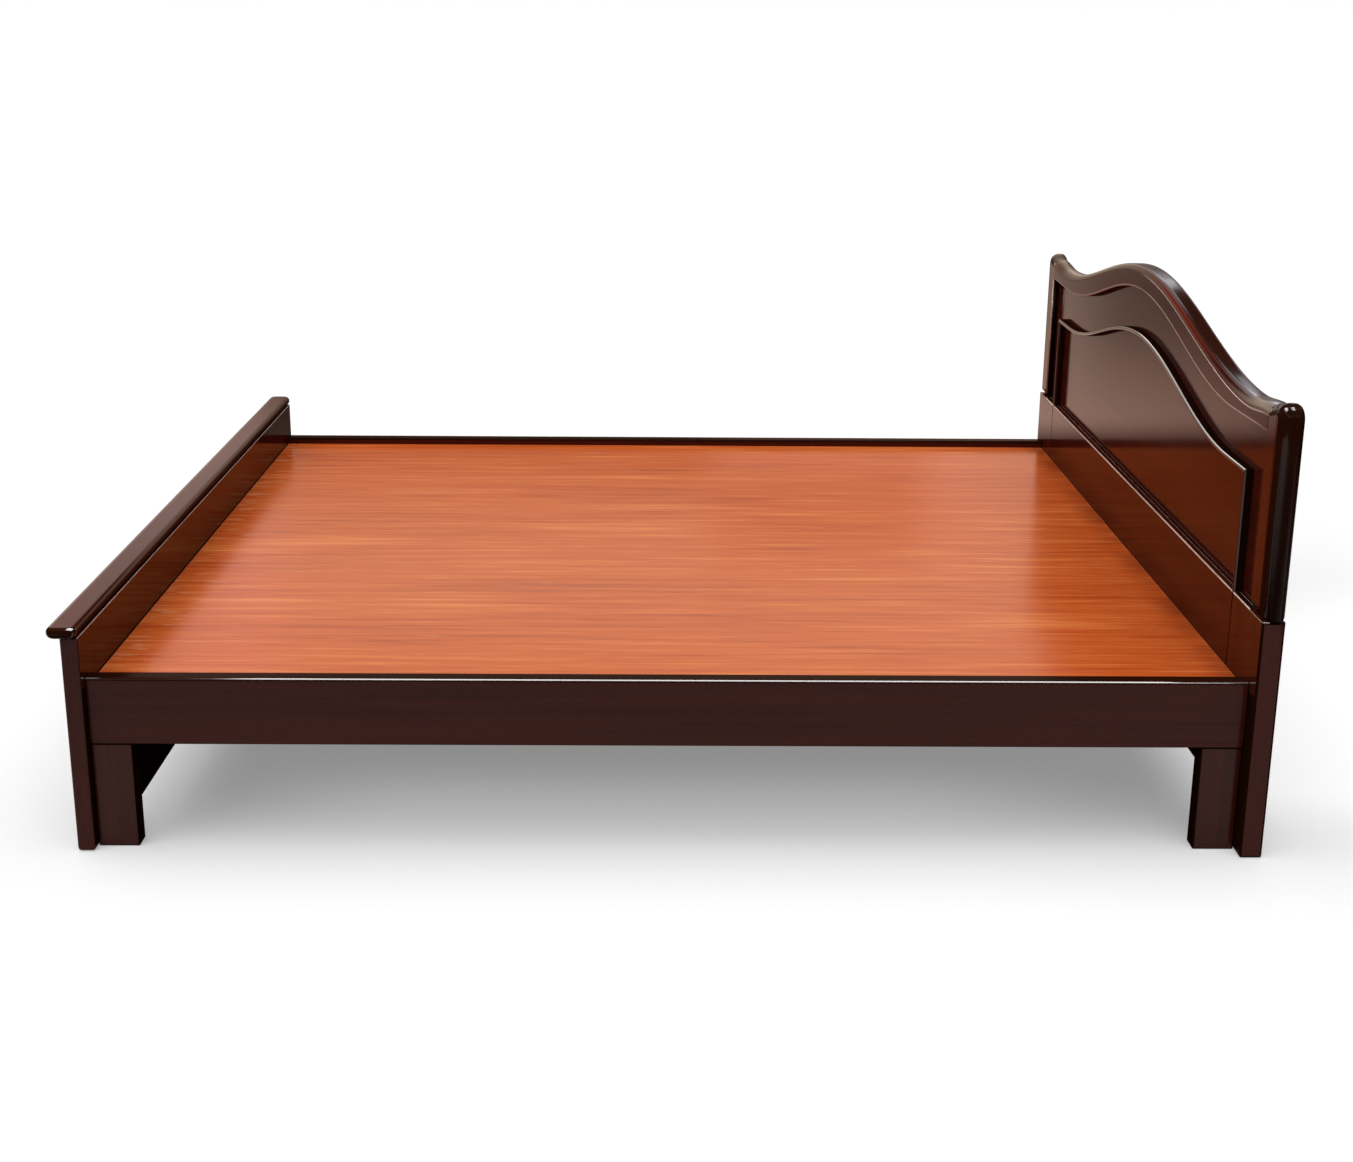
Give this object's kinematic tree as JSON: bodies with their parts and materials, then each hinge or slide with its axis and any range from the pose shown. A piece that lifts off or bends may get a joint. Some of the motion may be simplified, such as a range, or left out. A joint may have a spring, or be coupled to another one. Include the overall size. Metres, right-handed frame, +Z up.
{
  "type": "wooden double bed",
  "caption": "Low wooden double bed with a camel-backed panelled headboard, a capped low footboard, side rails on corner leg blocks and a boarded deck for a mattress",
  "frame": {"origin": "on the floor, under the middle of the bed's outline", "axes": "+X points from the footboard to the headboard, along the bed's length; +Y points across the bed to the far side; +Z is up"},
  "size_m": [2.082, 1.968, 0.892],
  "materials": {
    "dark_wood": "dark red-brown stain under high-gloss lacquer",
    "deck_wood": "orange-brown high-gloss varnish",
    "under_wood": "sawn wood under a thin brown stain",
    "bolt_steel": "plain steel"
  },
  "bodies": {
    "root": {"head_post_near": "dark_wood", "head_post_far": "dark_wood", "head_lower_board": "dark_wood", "head_stile_near": "dark_wood", "head_stile_far": "dark_wood", "head_panel": "dark_wood", "head_crest": "dark_wood", "bead_arch": "dark_wood", "bead_side_near": "dark_wood", "bead_side_far": "dark_wood", "foot_post_near": "dark_wood", "foot_post_far": "dark_wood", "foot_board": "dark_wood", "foot_cap": "dark_wood", "leg_head_near": "dark_wood", "leg_head_far": "dark_wood", "leg_foot_near": "dark_wood", "leg_foot_far": "dark_wood", "rail_near": "dark_wood", "rail_far": "dark_wood", "deck_board_1": "deck_wood", "deck_board_2": "deck_wood", "deck_board_3": "deck_wood", "deck_board_4": "deck_wood", "deck_board_5": "deck_wood", "deck_board_6": "deck_wood", "ledger_near": "under_wood", "ledger_far": "under_wood", "joist_1": "under_wood", "joist_2": "under_wood", "joist_3": "under_wood", "joist_4": "under_wood", "joist_5": "under_wood", "bearer_head": "dark_wood", "bearer_foot": "dark_wood", "centre_beam": "under_wood", "centre_leg": "under_wood", "bolt_head_near": "bolt_steel", "bolt_head_far": "bolt_steel", "bolt_foot_near": "bolt_steel", "bolt_foot_far": "bolt_steel"}
  },
  "joints": []
}
